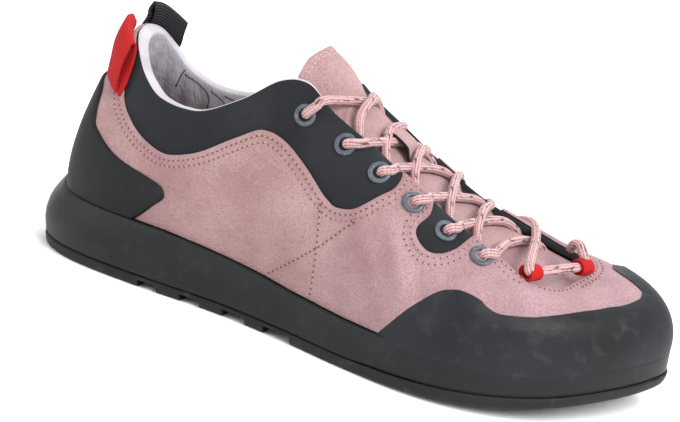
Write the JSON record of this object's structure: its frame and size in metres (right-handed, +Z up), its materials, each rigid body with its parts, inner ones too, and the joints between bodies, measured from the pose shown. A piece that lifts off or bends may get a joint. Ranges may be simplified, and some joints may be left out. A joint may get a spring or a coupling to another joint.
{
  "type": "approach shoe",
  "caption": "Low lace-up approach shoe for the right foot: hollow upper with suede overlay, rubber toe rand and heel counter, foam midsole and lugged outsole.",
  "frame": {"origin": "on the ground, under the middle of the sole's outline", "axes": "+X along the foot towards the toe, +Y towards the inner (medial) side of the foot, +Z up"},
  "size_m": [0.27, 0.0973, 0.11],
  "materials": {
    "outsole_rubber": "matte black rubber",
    "midsole_foam": "satin black foam",
    "insole_fabric": "knitted footbed cover",
    "softshell": "charcoal softshell over foam, pale knit lining",
    "suede": "brushed dusty pink suede",
    "rand_rubber": "satin blue-black rubber",
    "eyelet_metal": "blue-grey lacquer",
    "lace": "braided cord with dark flecks",
    "red_webbing": "ribbed webbing",
    "black_webbing": "ribbed webbing"
  },
  "bodies": {
    "root": {"outsole": "outsole_rubber", "midsole": "midsole_foam", "insole": "insole_fabric", "upper": "softshell", "suede": "suede", "heel_counter": "rand_rubber", "toe_rand": "rand_rubber", "tongue": "suede", "tongue_keeper": "suede", "lace_bar": "lace", "lace_loop_lateral": "red_webbing", "lace_loop_medial": "red_webbing", "heel_tag": "red_webbing", "pull_loop": "black_webbing", "lace_crossing_1": "lace", "lace_crossing_2": "lace", "lace_crossing_3": "lace", "lace_crossing_4": "lace", "lace_crossing_5": "lace", "lace_crossing_6": "lace", "eyelet_lateral_1": "eyelet_metal", "eyelet_lateral_2": "eyelet_metal", "eyelet_lateral_3": "eyelet_metal", "eyelet_lateral_4": "eyelet_metal", "eyelet_lateral_5": "eyelet_metal", "eyelet_lateral_6": "eyelet_metal", "eyelet_medial_1": "eyelet_metal", "eyelet_medial_2": "eyelet_metal", "eyelet_medial_3": "eyelet_metal", "eyelet_medial_4": "eyelet_metal", "eyelet_medial_5": "eyelet_metal", "eyelet_medial_6": "eyelet_metal"}
  },
  "joints": []
}
